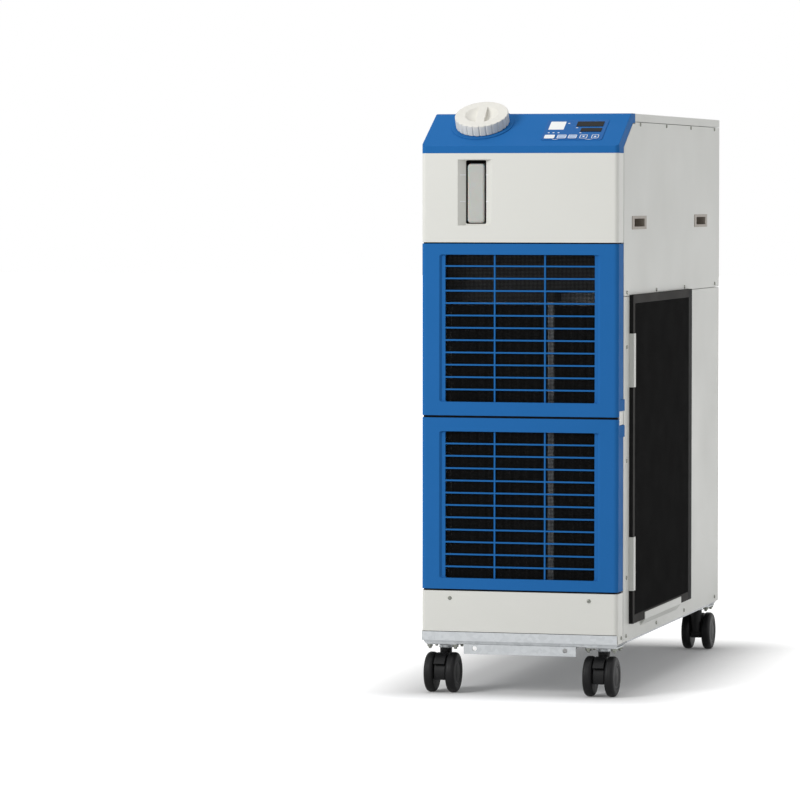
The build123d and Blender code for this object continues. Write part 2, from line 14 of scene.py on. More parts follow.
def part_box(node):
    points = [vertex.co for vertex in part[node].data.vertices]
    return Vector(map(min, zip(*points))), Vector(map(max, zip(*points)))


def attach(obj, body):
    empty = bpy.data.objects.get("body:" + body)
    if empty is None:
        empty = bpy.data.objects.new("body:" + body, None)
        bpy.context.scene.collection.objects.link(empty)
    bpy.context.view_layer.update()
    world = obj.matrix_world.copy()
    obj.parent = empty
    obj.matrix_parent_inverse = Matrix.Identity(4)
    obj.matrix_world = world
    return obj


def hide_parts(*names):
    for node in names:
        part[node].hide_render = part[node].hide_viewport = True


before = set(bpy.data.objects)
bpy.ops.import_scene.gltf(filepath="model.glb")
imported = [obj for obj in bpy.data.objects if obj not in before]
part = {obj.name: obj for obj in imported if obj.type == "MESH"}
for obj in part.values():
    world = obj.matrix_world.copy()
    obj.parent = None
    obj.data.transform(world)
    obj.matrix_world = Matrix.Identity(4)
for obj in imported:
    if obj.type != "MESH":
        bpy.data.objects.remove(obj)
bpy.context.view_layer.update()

# %% [markdown]
# ## The camera
# The photograph was taken from far away with a long lens, a little above the middle of the machine and from its
# right. The place and the direction were worked out from the machine's straight edges. The camera's own axes make
# its matrix: right, up, and backwards.

# %% Camera
camera_place = Vector((1.96869, -8.59819, 0.9354))
camera_yaw = 0.2638
camera_pitch = -0.0446
look = Vector(
    (
        -math.sin(camera_yaw) * math.cos(camera_pitch),
        math.cos(camera_yaw) * math.cos(camera_pitch),
        math.sin(camera_pitch),
    )
)
right = Vector((math.cos(camera_yaw), math.sin(camera_yaw), 0))
up = right.cross(look)
camera_data = bpy.data.cameras.new("photo_camera")
camera_data.sensor_width = 36
camera_data.lens = 203.25
camera_data.shift_x = -0.00275
camera_data.shift_y = -0.009125
camera_data.clip_end = 100
camera = bpy.data.objects.new("photo_camera", camera_data)
camera.matrix_world = Matrix.Translation(camera_place) @ Matrix((right, up, -look)).transposed().to_4x4()
bpy.context.scene.collection.objects.link(camera)
bpy.context.scene.camera = camera
print("camera looks along", [round(v, 3) for v in look])

# %% [markdown]
# ## Small tools for colour and nodes
# Colours are written as the hex values that a picture shows, and one function turns them into the linear values
# that shaders count with. One more function adds a node, sets it and links it.

# %% Colour and node tools
MM = 0.001


def linear(code):
    """The linear colour of an sRGB hex value such as #2668B0."""
    parts = [int(code[i : i + 2], 16) / 255 for i in (1, 3, 5)]
    return tuple(c / 12.92 if c <= 0.04045 else ((c + 0.055) / 1.055) ** 2.4 for c in parts) + (1.0,)


def add_node(tree, kind, settings=None, inputs=None):
    """Adds a node. An input is a plain value or the output socket of another node."""
    new = tree.nodes.new(kind)
    for name, value in (settings or {}).items():
        setattr(new, name, value)
    for key, value in (inputs or {}).items():
        if isinstance(value, bpy.types.NodeSocket):
            tree.links.new(value, new.inputs[key])
        else:
            new.inputs[key].default_value = value
    return new


print("blue in linear light", [round(v, 3) for v in linear("#2668B0")])

# %% [markdown]
# ## What every finish shares
# Sheet steel under powder coat, moulded plastic and printed film differ in colour, gloss and grain, and share three
# things: the tone drifts a little over a hand's width, a fine grain breaks the reflections up, and no edge is
# perfectly sharp. The function below builds those three. The grain's size and depth are in millimetres, and Object
# coordinates keep it in place on the part. A Bevel node rounds the edges in the shading alone, so the solids stay as
# the model has them.


# %% The shared finish
def make_finish(name, pale, deep, patch, grain, depth, rough, spread=0.04, edge=0.6, **own):
    """A finish between two tones. Patch, grain, depth and edge are in millimetres."""
    finish = bpy.data.materials.new(name)
    finish.use_nodes = True
    tree = finish.node_tree
    tree.nodes.clear()
    place = add_node(tree, "ShaderNodeTexCoord").outputs["Object"]
    drift = add_node(
        tree, "ShaderNodeTexNoise", None, {"Vector": place, "Scale": 1000 / patch, "Detail": 3.0}
    ).outputs["Fac"]
    tone = add_node(
        tree, "ShaderNodeMix", {"data_type": "RGBA"}, {0: drift, 6: linear(pale), 7: linear(deep)}
    ).outputs[2]
    gloss = add_node(
        tree,
        "ShaderNodeMapRange",
        None,
        {"Value": drift, 1: 0.3, 2: 0.7, 3: rough - spread, 4: rough + spread},
    ).outputs["Result"]
    relief = add_node(
        tree, "ShaderNodeTexNoise", None, {"Vector": place, "Scale": 1000 / grain, "Detail": 2.0}
    ).outputs["Fac"]
    rounded = add_node(tree, "ShaderNodeBevel", {"samples": 4}, {"Radius": edge * MM}).outputs["Normal"]
    bump = add_node(
        tree, "ShaderNodeBump", None, {"Height": relief, "Distance": depth * MM, "Normal": rounded}
    ).outputs["Normal"]
    shader = add_node(
        tree, "ShaderNodeBsdfPrincipled", None, {"Base Color": tone, "Roughness": gloss, "Normal": bump}
    )
    for key, value in own.items():
        shader.inputs[key.replace("_", " ")].default_value = value
    add_node(tree, "ShaderNodeOutputMaterial", None, {"Surface": shader.outputs[0]})
    return finish


# %% [markdown]
# ## Blue moulded plastic and the printed film
# The hood and the two grille frames are moulded ABS. Its tool was spark-eroded, so the surface has a fine even grain
# under a soft gloss, which gives broad, slightly blurred highlights. The control panel is a printed polyester film
# glued on the slope: nearly the same blue, smoother, with a sharper sheen. The keys are domes pressed into that film.

# %% Blue finishes
blue_abs = make_finish(
    "blue_moulded_abs",
    "#2A6CB0",
    "#276AAB",
    patch=90,
    grain=0.9,
    depth=0.02,
    rough=0.42,
    edge=1.2,
    Specular_IOR_Level=0.012,
)
blue_film = make_finish(
    "blue_printed_polyester",
    "#2464A8",
    "#2161A3",
    patch=40,
    grain=0.5,
    depth=0.008,
    rough=0.3,
    edge=0.3,
    Specular_IOR_Level=0.05,
)
key_film = make_finish(
    "blue_key_domes",
    "#2E6CAE",
    "#2A67A8",
    patch=20,
    grain=0.5,
    depth=0.008,
    rough=0.32,
    edge=0.5,
    Specular_IOR_Level=0.05,
)
print("blue finishes:", blue_abs.name, blue_film.name, key_film.name)

# %% [markdown]
# ## Powder coat on sheet steel
# The front covers are warm white. The side, top and rear sheets take a light grey a little darker than that white;
# part of that difference is painted shade for the less lit sides. Powder coat is sprayed dry and melted in an oven,
# which leaves an orange peel: shallow waves two or three millimetres wide that make a reflection tremble. The control
# box behind the upper grille has the same coat in dark grey.

# %% Powder coats
white_coat = make_finish(
    "white_powder_coat", "#E0E0DA", "#DADAD4", patch=140, grain=2.4, depth=0.02, rough=0.4, edge=0.8
)
# This grey lies between the front's white and how dark the sides look; part of its step below the white is painted
# shade for the less lit sides.
side_grey_with_painted_shade = make_finish(
    "light_grey_coat_with_painted_shade", "#D6D7D2", "#CFD0CB", patch=160, grain=2.4, depth=0.025, rough=0.42, edge=0.6
)
dark_coat = make_finish(
    "dark_grey_powder_coat", "#58595A", "#4E4F50", patch=80, grain=2.0, depth=0.02, rough=0.5, edge=0.6
)
print("powder coats:", white_coat.name, side_grey_with_painted_shade.name, dark_coat.name)

# %% [markdown]
# ## Galvanised steel
# Base, channels, brackets, posts and caster plates are steel dipped in zinc. As the zinc sets it grows crystals, the
# spangle: patches some millimetres wide that each catch the light in their own way. A Voronoi pattern gives each cell
# one random value, and that value moves the tone and the roughness of the metal.


# %% Zinc with its spangle
def make_zinc(name, pale, deep, crystal, rough_low, rough_high):
    """Galvanised steel with crystals of this width in millimetres."""
    finish = bpy.data.materials.new(name)
    finish.use_nodes = True
    tree = finish.node_tree
    tree.nodes.clear()
    place = add_node(tree, "ShaderNodeTexCoord").outputs["Object"]
    cells = add_node(tree, "ShaderNodeTexVoronoi", None, {"Vector": place, "Scale": 1000 / crystal})
    value = add_node(tree, "ShaderNodeSeparateColor", None, {"Color": cells.outputs["Color"]}).outputs["Red"]
    tone = add_node(
        tree, "ShaderNodeMix", {"data_type": "RGBA"}, {0: value, 6: linear(pale), 7: linear(deep)}
    ).outputs[2]
    gloss = add_node(
        tree, "ShaderNodeMapRange", None, {"Value": value, 3: rough_low, 4: rough_high}
    ).outputs["Result"]
    ripple = add_node(
        tree, "ShaderNodeTexNoise", None, {"Vector": place, "Scale": 1000 / (2 * crystal), "Detail": 4.0}
    ).outputs["Fac"]
    rounded = add_node(tree, "ShaderNodeBevel", {"samples": 4}, {"Radius": 0.5 * MM}).outputs["Normal"]
    bump = add_node(
        tree, "ShaderNodeBump", None, {"Height": ripple, "Distance": 0.05 * MM, "Normal": rounded}
    ).outputs["Normal"]
    shader = add_node(
        tree,
        "ShaderNodeBsdfPrincipled",
        None,
        {"Base Color": tone, "Metallic": 1.0, "Roughness": gloss, "Normal": bump},
    )
    add_node(tree, "ShaderNodeOutputMaterial", None, {"Surface": shader.outputs[0]})
    return finish


zinc_sheet = make_zinc("galvanised_sheet_steel", "#B0B3B5", "#A9ACAE", 7, 0.46, 0.54)
zinc_fastener = make_zinc("zinc_plated_steel", "#84867F", "#72746E", 2, 0.3, 0.42)
print("metals:", zinc_sheet.name, zinc_fastener.name)

# %% [markdown]
# ## Black plastics and rubber
# Four blacks that the eye tells apart by their gloss. The dust nets are extruded polypropylene, dull and very dark.
# The side filters' frames are moulded black plastic that looks dark grey where light falls on it. The casters are
# black nylon with a faint grain, and the cap's seal is matt rubber.

# %% Blacks
net_black = make_finish(
    "black_polypropylene_net",
    "#1C1C1C",
    "#161616",
    patch=60,
    grain=1.0,
    depth=0.01,
    rough=0.6,
    edge=0.1,
    Specular_IOR_Level=0.04,
)
filter_black = make_finish(
    "black_moulded_filter_frame",
    "#393836",
    "#333231",
    patch=70,
    grain=0.8,
    depth=0.02,
    rough=0.6,
    edge=0.6,
    Specular_IOR_Level=0.02,
)
caster_black = make_finish(
    "black_cast_nylon",
    "#141415",
    "#0E0E0F",
    patch=18,
    grain=0.7,
    depth=0.02,
    rough=0.5,
    edge=0.8,
    Specular_IOR_Level=0.2,
)
gland_black = make_finish(
    "black_gland_nylon", "#222223", "#1A1A1B", patch=15, grain=0.6, depth=0.02, rough=0.45, edge=0.4
)
# This matt black is the rubber of the cap's seal and the swivel seals, and it also paints shade in the window slot, in
# the grille frames' gaps and on the side filters' edges.
rubber_and_shade_black = make_finish(
    "black_rubber_and_painted_shade",
    "#131313",
    "#0E0E0E",
    patch=10,
    grain=0.5,
    depth=0.02,
    rough=0.75,
    edge=0.3,
    Specular_IOR_Level=0.15,
)
print("blacks:", net_black.name, filter_black.name, caster_black.name, gland_black.name, rubber_and_shade_black.name)

# %% [markdown]
# ## The other finishes
# The cap and its neck are off-white polypropylene, slightly warm. The level tube is milky polyethylene that lets
# light in a little way. The lift pockets are a brown grey plastic. The displays are smoked acrylic, nearly black and
# very smooth. The fins are thin aluminium with a dark coat against corrosion, and the ports are turned brass.

# %% Cap, tube, pockets, displays, fins and ports
cap_plastic = make_finish(
    "off_white_polypropylene", "#E6E4DD", "#DEDCD4", patch=25, grain=0.7, depth=0.03, rough=0.5, edge=0.7
)
tube_plastic = make_finish(
    "milky_polyethylene",
    "#BFC1BC",
    "#B4B6B1",
    patch=30,
    grain=1.2,
    depth=0.02,
    rough=0.38,
    edge=1.0,
    Subsurface_Weight=0.35,
    Subsurface_Scale=0.006,
    IOR=1.5,
)
pocket_plastic = make_finish(
    "brown_grey_moulded_plastic", "#A79F95", "#9A9288", patch=20, grain=0.7, depth=0.02, rough=0.5, edge=0.5
)
smoked_acrylic = make_finish(
    "smoked_acrylic",
    "#0A0A0B",
    "#070708",
    patch=30,
    grain=6.0,
    depth=0.005,
    rough=0.14,
    spread=0.02,
    edge=0.3,
    Specular_IOR_Level=0.1,
)
coated_fin = make_finish(
    "dark_coated_aluminium", "#4A4B4C", "#3C3D3E", patch=14, grain=1.5, depth=0.01, rough=0.5, edge=0.1
)
turned_brass = make_finish(
    "turned_brass", "#D9B36A", "#C79F58", patch=12, grain=0.4, depth=0.01, rough=0.3, edge=0.4, Metallic=1.0
)
white_ink = make_finish("white_screen_ink", "#F0F1F2", "#E8E9EA", patch=8, grain=0.5, depth=0.006, rough=0.4, edge=0.1)
pale_ink = make_finish("pale_blue_screen_ink", "#A9BDDA", "#9CB2D2", patch=8, grain=0.5, depth=0.006, rough=0.4, edge=0.1)
label_vinyl = make_finish("white_vinyl_label", "#F2F3F3", "#EBECEC", patch=15, grain=0.9, depth=0.006, rough=0.35, edge=0.2)
print(len(bpy.data.materials), "materials in the file so far")

# %% [markdown]
# ## Giving the solids their finishes
# Each solid of the model already has a slot for its material, so dressing it is one assignment. The table reads like
# a paint shop's list: which finish goes on which parts.

# %% Finishes on the solids
corners = ("front_left", "front_right", "rear_left", "rear_right")
finish_list = {
    blue_abs: ("control_hood", "grille_frame_upper", "grille_frame_lower"),
    blue_film: ("control_panel",),
    key_film: ("key_pads",),
    smoked_acrylic: ("display_windows",),
    white_coat: ("front_upper_panel", "front_lower_panel", "catch_blocks"),
    side_grey_with_painted_shade: (
        "side_panel_upper_left",
        "side_panel_upper_right",
        "side_panel_lower_left",
        "side_panel_lower_right",
        "top_cover",
        "rear_panel_upper",
        "rear_panel_lower",
        "filter_clips",
        "filter_ledges",
    ),
    dark_coat: ("electrical_box",),
    zinc_sheet: (
        "base_tray",
        "base_rails",
        "cross_channels",
        "anchor_brackets",
        "corner_posts",
        "front_bulkhead",
        "caster_plates",
    ),
    filter_black: ("side_filter_left", "side_filter_right"),
    net_black: ("dust_nets",),
    coated_fin: ("condenser_coil",),
    tube_plastic: ("level_tube",),
    pocket_plastic: ("lift_pockets",),
    cap_plastic: ("filler_cap", "filler_neck"),
    rubber_and_shade_black: ("cap_gasket",),
    caster_black: tuple("caster_housing_" + c for c in corners) + tuple("caster_wheels_" + c for c in corners),
    turned_brass: ("water_ports",),
    gland_black: ("power_gland",),
}
dressed = set()
for finish, names in finish_list.items():
    for name in names:
        for material_slot in part[name].material_slots:
            material_slot.material = finish
        dressed.add(name)
print(len(dressed), "of", len(part), "solids dressed, left over:", sorted(set(part) - dressed))

# %% [markdown]
# ## How the added pieces are kept
# A piece of this scene is a plain mesh whose points are already in the machine's own coordinates, with its object at
# the origin. It gets one finish and rides on the body it is fixed to.


# %% Keeping a piece
def keep_piece(name, mesh, finish, body="chiller", smooth_below=None):
    """Puts a finished mesh in the scene as a piece on a body."""
    mesh.materials.clear()
    mesh.materials.append(finish)
    if smooth_below is not None:
        mesh.shade_smooth()
        mesh.set_sharp_from_angle(angle=math.radians(smooth_below))
    made = bpy.data.objects.new(name, mesh)
    bpy.context.scene.collection.objects.link(made)
    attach(made, body)
    return made


def plan_mesh(name, build):
    """A mesh whose faces a function draws with bmesh, turned outwards."""
    shape = bmesh.new()
    build(shape)
    bmesh.ops.recalc_face_normals(shape, faces=shape.faces)
    mesh = bpy.data.meshes.new(name)
    shape.to_mesh(mesh)
    shape.free()
    return mesh


# %% [markdown]
# ## Running a Geometry Nodes tree
# A tree makes its geometry from named sizes alone. The helper hangs it on an empty carrier, sets the inputs by their
# identifiers before anything is evaluated, and takes the result as a plain mesh. After that neither the carrier nor
# the modifier is needed.


# %% Tree helpers
def new_tree(name, sockets):
    """A node tree with named inputs, given as name: (socket type, default)."""
    tree = bpy.data.node_groups.new(name, "GeometryNodeTree")
    tree.interface.new_socket("Geometry", in_out="INPUT", socket_type="NodeSocketGeometry")
    for label, (kind, default) in sockets.items():
        socket = tree.interface.new_socket(label, in_out="INPUT", socket_type=kind)
        if default is not None:
            socket.default_value = default
    tree.interface.new_socket("Geometry", in_out="OUTPUT", socket_type="NodeSocketGeometry")
    return tree, add_node(tree, "NodeGroupInput").outputs


def end_tree(tree, geometry, finish):
    """Every tree ends the same way: instances made real, then the finish."""
    real = add_node(tree, "GeometryNodeRealizeInstances", None, {0: geometry}).outputs[0]
    painted = add_node(tree, "GeometryNodeSetMaterial", None, {"Geometry": real, "Material": finish}).outputs[0]
    add_node(tree, "NodeGroupOutput", None, {0: painted})


def run_tree(tree, sizes, carrier_mesh=None):
    """Evaluates a tree with these sizes and returns the mesh it makes."""
    mesh = carrier_mesh or bpy.data.meshes.new("carrier")
    carrier = bpy.data.objects.new("carrier", mesh)
    modifier = carrier.modifiers.new("tree", "NODES")
    modifier.node_group = tree
    for item in tree.interface.items_tree:
        if item.item_type == "SOCKET" and item.in_out == "INPUT" and item.name in sizes:
            modifier[item.identifier] = sizes[item.name]
    bpy.context.scene.collection.objects.link(carrier)
    depsgraph = bpy.context.evaluated_depsgraph_get()
    made = bpy.data.meshes.new_from_object(carrier.evaluated_get(depsgraph))
    carrier.modifiers.clear()
    bpy.data.objects.remove(carrier)
    bpy.data.meshes.remove(mesh)
    return made


# %% [markdown]
# ## The dust nets
# Behind each grille, and in each side filter, a black plastic net keeps lint out of the coil. It could be an image
# with holes, but at the photograph's angle a real net shows depth: the near threads shift over the far ones. The net
# is two layers of straight threads laid crosswise, which is how extruded netting is made. Each thread has only a
# few faces, because there are hundreds.

# %% The net's tree
net_tree, size = new_tree(
    "crossed_thread_net",
    {
        "Width": ("NodeSocketFloat", 0.3),
        "Height": ("NodeSocketFloat", 0.3),
        "Pitch": ("NodeSocketFloat", 0.0025),
        "Thread": ("NodeSocketFloat", 0.001),
        "Centre": ("NodeSocketVector", None),
        "Turn": ("NodeSocketVector", None),
    },
)
profile = add_node(
    net_tree, "GeometryNodeCurvePrimitiveCircle", {"mode": "RADIUS"}, {"Resolution": 5, "Radius": size["Thread"]}
)
half_thread = add_node(net_tree, "ShaderNodeMath", {"operation": "MULTIPLY"}, {0: size["Thread"], 1: 0.5}).outputs[0]
net_tree.links.new(half_thread, profile.inputs["Radius"])
layers = []
for layer, (across, along) in enumerate((("Width", "Height"), ("Height", "Width"))):
    count = add_node(
        net_tree, "ShaderNodeMath", {"operation": "DIVIDE"}, {0: size[across], 1: size["Pitch"]}
    ).outputs[0]
    whole = add_node(net_tree, "ShaderNodeMath", {"operation": "FLOOR"}, {0: count}).outputs[0]
    span = add_node(net_tree, "ShaderNodeMath", {"operation": "MULTIPLY"}, {0: whole, 1: size["Pitch"]}).outputs[0]
    begin = add_node(net_tree, "ShaderNodeMath", {"operation": "MULTIPLY"}, {0: span, 1: -0.5}).outputs[0]
    points = add_node(net_tree, "ShaderNodeMath", {"operation": "ADD"}, {0: whole, 1: 1.0}).outputs[0]
    reach = add_node(net_tree, "ShaderNodeMath", {"operation": "MULTIPLY"}, {0: size[along], 1: 0.5}).outputs[0]
    back = add_node(net_tree, "ShaderNodeMath", {"operation": "MULTIPLY"}, {0: reach, 1: -1.0}).outputs[0]
    level = add_node(
        net_tree, "ShaderNodeMath", {"operation": "MULTIPLY"}, {0: size["Thread"], 1: 0.45 - 0.9 * layer}
    ).outputs[0]
    axis, other = ("X", "Y") if layer == 0 else ("Y", "X")
    first = add_node(net_tree, "ShaderNodeCombineXYZ", None, {axis: begin, "Z": level}).outputs[0]
    step = add_node(net_tree, "ShaderNodeCombineXYZ", None, {axis: size["Pitch"]}).outputs[0]
    row = add_node(
        net_tree,
        "GeometryNodeMeshLine",
        {"mode": "OFFSET"},
        {"Count": points, "Start Location": first, "Offset": step},
    ).outputs[0]
    start = add_node(net_tree, "ShaderNodeCombineXYZ", None, {other: back}).outputs[0]
    end = add_node(net_tree, "ShaderNodeCombineXYZ", None, {other: reach}).outputs[0]
    line = add_node(net_tree, "GeometryNodeCurvePrimitiveLine", None, {"Start": start, "End": end}).outputs[0]
    thread = add_node(
        net_tree,
        "GeometryNodeCurveToMesh",
        None,
        {"Curve": line, "Profile Curve": profile.outputs[0], "Fill Caps": True},
    ).outputs[0]
    layers.append(
        add_node(net_tree, "GeometryNodeInstanceOnPoints", None, {"Points": row, "Instance": thread}).outputs[0]
    )
net_join = add_node(net_tree, "GeometryNodeJoinGeometry")
for layer in reversed(layers):
    net_tree.links.new(layer, net_join.inputs[0])
placed = add_node(
    net_tree,
    "GeometryNodeTransform",
    None,
    {"Geometry": net_join.outputs[0], "Translation": size["Centre"], "Rotation": size["Turn"]},
).outputs[0]
end_tree(net_tree, placed, net_black)
print("net tree with", len(net_tree.nodes), "nodes")

# %% [markdown]
# The front nets stand for the two plain sheets of the model. Their threads are 0.9 mm thick and 2.5 mm apart. The
# side filters keep their moulded frames, and a slightly coarser net lies in the sunken field of each.

# %% Front and side nets
FRONT_PITCH = 2.5 * MM
FRONT_THREAD = 1.1 * MM
SIDE_PITCH = 3.1 * MM
SIDE_THREAD = 0.95 * MM
net_low, net_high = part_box("dust_nets")
net_width = net_high.x - net_low.x
net_height = 283.4 * MM
net_middle_y = (net_low.y + net_high.y) / 2
facing_front = (math.radians(90), 0, 0)
front_nets = []
for label, middle_z in (("upper", net_high.z - net_height / 2), ("lower", net_low.z + net_height / 2)):
    mesh = run_tree(
        net_tree,
        {
            "Width": net_width - 2 * MM,
            "Height": net_height - 2 * MM,
            "Pitch": FRONT_PITCH,
            "Thread": FRONT_THREAD,
            "Centre": ((net_low.x + net_high.x) / 2, net_middle_y, middle_z),
            "Turn": facing_front,
        },
    )
    front_nets.append(keep_piece("dust_net_" + label, mesh, net_black, smooth_below=80))
    print(label, "net", len(mesh.polygons), "faces")
for net in front_nets:
    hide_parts("dust_nets")

FIELD_Y = (-365.2 * MM, 134.7 * MM)
FIELD_Z = (145.0 * MM, 726.5 * MM)
FIELD_X = 192.6 * MM
for label, side in (("right", 1), ("left", -1)):
    mesh = run_tree(
        net_tree,
        {
            "Width": FIELD_Y[1] - FIELD_Y[0],
            "Height": FIELD_Z[1] - FIELD_Z[0],
            "Pitch": SIDE_PITCH,
            "Thread": SIDE_THREAD,
            "Centre": (side * (FIELD_X + 0.95 * MM), sum(FIELD_Y) / 2, sum(FIELD_Z) / 2),
            "Turn": (math.radians(90), 0, math.radians(90 * side)),
        },
    )
    keep_piece("side_net_" + label, mesh, net_black, smooth_below=80)
    print(label, "side net", len(mesh.polygons), "faces")

# %% [markdown]
# ## The coil's fins
# Behind the nets stands the condenser: upright aluminium fins a few millimetres apart. The model has one plain block
# for it. A tree sets thin plates side by side.

# %% Fins
fin_tree, size = new_tree(
    "coil_fins",
    {
        "Low": ("NodeSocketVector", None),
        "High": ("NodeSocketVector", None),
        "Pitch": ("NodeSocketFloat", 0.0022),
        "Gauge": ("NodeSocketFloat", 0.0003),
    },
)
extent = add_node(fin_tree, "ShaderNodeVectorMath", {"operation": "SUBTRACT"}, {0: size["High"], 1: size["Low"]})
extent_parts = add_node(fin_tree, "ShaderNodeSeparateXYZ", None, {0: extent.outputs[0]}).outputs
middle = add_node(fin_tree, "ShaderNodeVectorMath", {"operation": "ADD"}, {0: size["High"], 1: size["Low"]})
middle = add_node(fin_tree, "ShaderNodeVectorMath", {"operation": "SCALE"}, {0: middle.outputs[0], "Scale": 0.5})
middle_parts = add_node(fin_tree, "ShaderNodeSeparateXYZ", None, {0: middle.outputs[0]}).outputs
low_parts = add_node(fin_tree, "ShaderNodeSeparateXYZ", None, {0: size["Low"]}).outputs
fin_count = add_node(
    fin_tree, "ShaderNodeMath", {"operation": "DIVIDE"}, {0: extent_parts["X"], 1: size["Pitch"]}
).outputs[0]
first = add_node(
    fin_tree,
    "ShaderNodeCombineXYZ",
    None,
    {"X": low_parts["X"], "Y": middle_parts["Y"], "Z": middle_parts["Z"]},
).outputs[0]
step = add_node(fin_tree, "ShaderNodeCombineXYZ", None, {"X": size["Pitch"]}).outputs[0]
row = add_node(
    fin_tree, "GeometryNodeMeshLine", {"mode": "OFFSET"}, {"Count": fin_count, "Start Location": first, "Offset": step}
).outputs[0]
plate_size = add_node(
    fin_tree,
    "ShaderNodeCombineXYZ",
    None,
    {"X": size["Gauge"], "Y": extent_parts["Y"], "Z": extent_parts["Z"]},
).outputs[0]
plate = add_node(fin_tree, "GeometryNodeMeshCube", None, {"Size": plate_size}).outputs[0]
fins = add_node(fin_tree, "GeometryNodeInstanceOnPoints", None, {"Points": row, "Instance": plate}).outputs[0]
end_tree(fin_tree, fins, coated_fin)

coil_low, coil_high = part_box("condenser_coil")
inset = Vector((0.002, 0.0005, 0.0005))
fin_mesh = run_tree(
    fin_tree, {"Low": tuple(coil_low + inset), "High": tuple(coil_high - inset), "Pitch": 2.2 * MM, "Gauge": 0.3 * MM}
)
coil_fins = keep_piece("coil_fins", fin_mesh, coated_fin)
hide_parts("condenser_coil")
print("fins", len(fin_mesh.polygons) // 6)

# %% [markdown]
# ## Screws
# Small pan-head screws with a cross recess hold the sheets. One head is drawn with few faces: a domed disc with a
# cross pressed in. A tree sets it on a list of points, each with the direction it faces, and turns every head by its
# own amount, because no two screws stop at the same angle. The seed is fixed, so that they stay put from run to run.


# %% One screw head
def draw_head(shape, radius=3.6 * MM, height=2.0 * MM, steps=16):
    """A pan head on the XY plane with a cross-shaped recess in its top."""
    rings = []
    for share, level in ((1.0, 0.0), (0.98, 0.55), (0.8, 0.86), (0.52, 1.0)):
        rings.append(
            [
                shape.verts.new(
                    (
                        math.cos(i * math.tau / steps) * radius * share,
                        math.sin(i * math.tau / steps) * radius * share,
                        height * level,
                    )
                )
                for i in range(steps)
            ]
        )
    # The recess is a star of four arms, cut as a ring of points that steps in and down between the arms.
    star = []
    floor = []
    for i in range(steps):
        on_arm = i % 4 == 0
        reach = radius * (0.46 if on_arm else 0.14 if i % 4 == 2 else 0.2)
        angle = i * math.tau / steps
        star.append(shape.verts.new((math.cos(angle) * reach, math.sin(angle) * reach, height * 1.02)))
        floor.append(shape.verts.new((math.cos(angle) * reach * 0.6, math.sin(angle) * reach * 0.6, height * 0.35)))
    rings += [star, floor]
    for low, high in zip(rings, rings[1:]):
        for i in range(steps):
            j = (i + 1) % steps
            shape.faces.new((low[i], low[j], high[j], high[i]))
    shape.faces.new(floor)
    shape.faces.new(list(reversed(rings[0])))


head_mesh = plan_mesh("screw_head", draw_head)
screw_head = bpy.data.objects.new("screw_head", head_mesh)
print("screw head", len(head_mesh.polygons), "faces")

# %% [markdown]
# A hexagon bolt with its washer holds each corner of a caster plate. It is drawn the same way, as rings of six or
# twelve points, and hangs head down under the plate.


# %% One hexagon nut on its stud
def draw_bolt(shape, flats=10 * MM, thick=5.0 * MM, stud=6 * MM, reach=8.6 * MM):
    """A washer, a hexagon nut with bevelled corners, and the end of the stud, along +Z."""
    corner = flats / math.sqrt(3)
    outlines = (
        (12, 6.4 * MM, 0.0),
        (12, 6.4 * MM, 1.0 * MM),
        (12, 4.9 * MM, 1.0 * MM),
    )
    rings = []
    for count, radius, level in outlines:
        rings.append(
            [
                shape.verts.new((math.cos(i * math.tau / count) * radius, math.sin(i * math.tau / count) * radius, level))
                for i in range(count)
            ]
        )
    hexagon = []
    for share, level in ((1.0, 1.0 * MM), (1.0, thick - 0.8 * MM), (0.88, thick)):
        ring = []
        for i in range(12):
            reach_out = corner * (share if i % 2 == 0 else math.cos(math.pi / 6))
            ring.append(
                shape.verts.new((math.cos(i * math.tau / 12) * reach_out, math.sin(i * math.tau / 12) * reach_out, level))
            )
        hexagon.append(ring)
    tip = []
    for radius, level in ((stud / 2, thick), (stud / 2, reach - 0.8 * MM), (stud / 2 - 0.8 * MM, reach)):
        tip.append(
            [shape.verts.new((math.cos(i * math.tau / 12) * radius, math.sin(i * math.tau / 12) * radius, level)) for i in range(12)]
        )
    chain = rings + hexagon + tip
    for low, high in zip(chain, chain[1:]):
        for i in range(12):
            j = (i + 1) % 12
            shape.faces.new((low[i], low[j], high[j], high[i]))
    shape.faces.new(list(reversed(chain[0])))
    shape.faces.new(chain[-1])


bolt_mesh = plan_mesh("plate_bolt", draw_bolt)
plate_bolt = bpy.data.objects.new("plate_bolt", bolt_mesh)
print("plate bolt", len(bolt_mesh.polygons), "faces")

# %% The tree that sets fasteners
fastener_tree, size = new_tree(
    "fasteners_on_points",
    {
        "Fastener": ("NodeSocketObject", None),
        "Turn limit": ("NodeSocketFloat", math.tau),
        "Seed": ("NodeSocketInt", 3),
    },
)
facing = add_node(
    fastener_tree, "GeometryNodeInputNamedAttribute", {"data_type": "FLOAT_VECTOR"}, {"Name": "facing"}
).outputs[0]
aimed = add_node(fastener_tree, "FunctionNodeAlignRotationToVector", {"axis": "Z"}, {"Vector": facing}).outputs[0]
spin = add_node(
    fastener_tree, "FunctionNodeRandomValue", {"data_type": "FLOAT"}, {3: size["Turn limit"], "Seed": size["Seed"]}
).outputs[1]
own_turn = add_node(fastener_tree, "ShaderNodeCombineXYZ", None, {"Z": spin}).outputs[0]
turned_own = add_node(
    fastener_tree,
    "FunctionNodeRotateRotation",
    {"rotation_space": "LOCAL"},
    {0: aimed, 1: own_turn},
).outputs[0]
model = add_node(fastener_tree, "GeometryNodeObjectInfo", None, {"Object": size["Fastener"]}).outputs["Geometry"]
set_heads = add_node(
    fastener_tree,
    "GeometryNodeInstanceOnPoints",
    None,
    {"Points": size["Geometry"], "Instance": model, "Rotation": turned_own},
).outputs[0]
end_tree(fastener_tree, set_heads, zinc_fastener)


